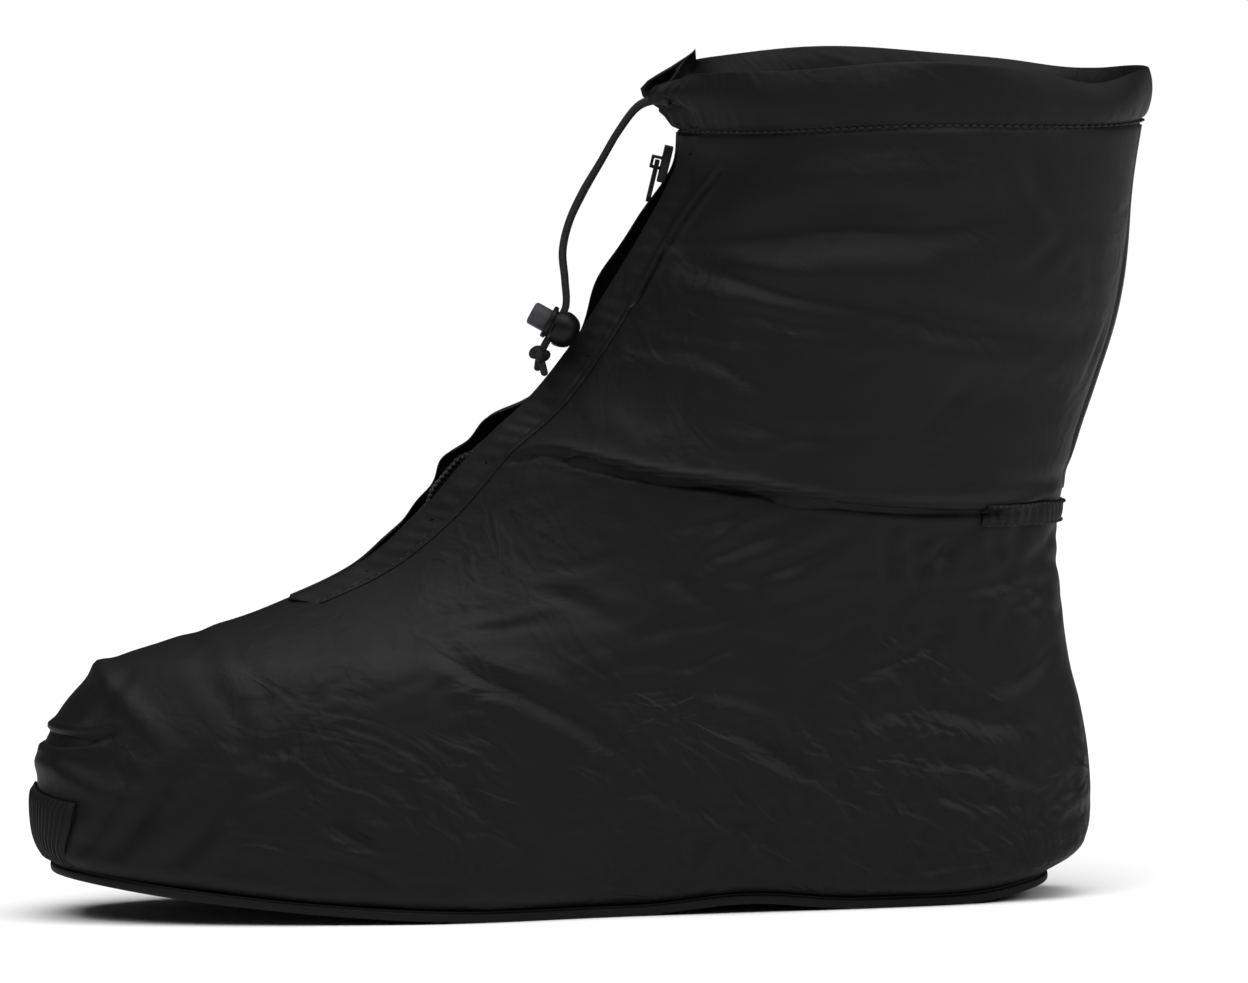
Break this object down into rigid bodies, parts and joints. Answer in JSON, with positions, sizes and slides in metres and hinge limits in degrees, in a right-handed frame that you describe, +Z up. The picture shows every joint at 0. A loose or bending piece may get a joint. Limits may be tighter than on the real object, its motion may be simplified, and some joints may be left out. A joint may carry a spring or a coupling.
{
  "type": "cycling overshoe",
  "caption": "High rain overshoe for cycling: coated-sheet upper with a front zip, ribbed sheet sole and drawcord collar with a cord lock.",
  "frame": {"origin": "on the floor under the middle of the shoe's own box, without its free cord and lock", "axes": "+X from toe to heel, +Y across the shoe to the wearer's right, with the picture's near side on -Y, +Z up"},
  "size_m": [0.309, 0.1018, 0.2249],
  "materials": {
    "coated_sheet": "satin",
    "ribbed_sheet": "matte ribbed",
    "facing": "satin",
    "tape": "matte",
    "elastic": "matte",
    "zip_teeth": "glossy",
    "slider": "satin",
    "lock_grey": "satin",
    "cord": "matte"
  },
  "bodies": {
    "shoe": {"outsole": "ribbed_sheet", "toe_bumper": "ribbed_sheet", "upper": "coated_sheet", "collar_casing": "coated_sheet", "placket_left": "facing", "placket_right": "facing", "zip_tape": "tape", "zip_coil": "zip_teeth", "zip_slider": "slider", "heel_elastic": "elastic", "back_seam": "tape", "drawcord_near": "cord", "drawcord_far": "cord", "cord_knot": "cord", "toggle_barrel": "slider", "toggle_plunger": "lock_grey"},
    "pull_tab": {"zip_pull": "zip_teeth"}
  },
  "joints": [
    {"name": "zip_pull_hinge", "type": "hinge", "parent": "shoe", "child": "pull_tab", "pos_m": [0.01915, 0, 0.20009], "axis": [0, 1, 0], "range_deg": [0, 160]}
  ]
}
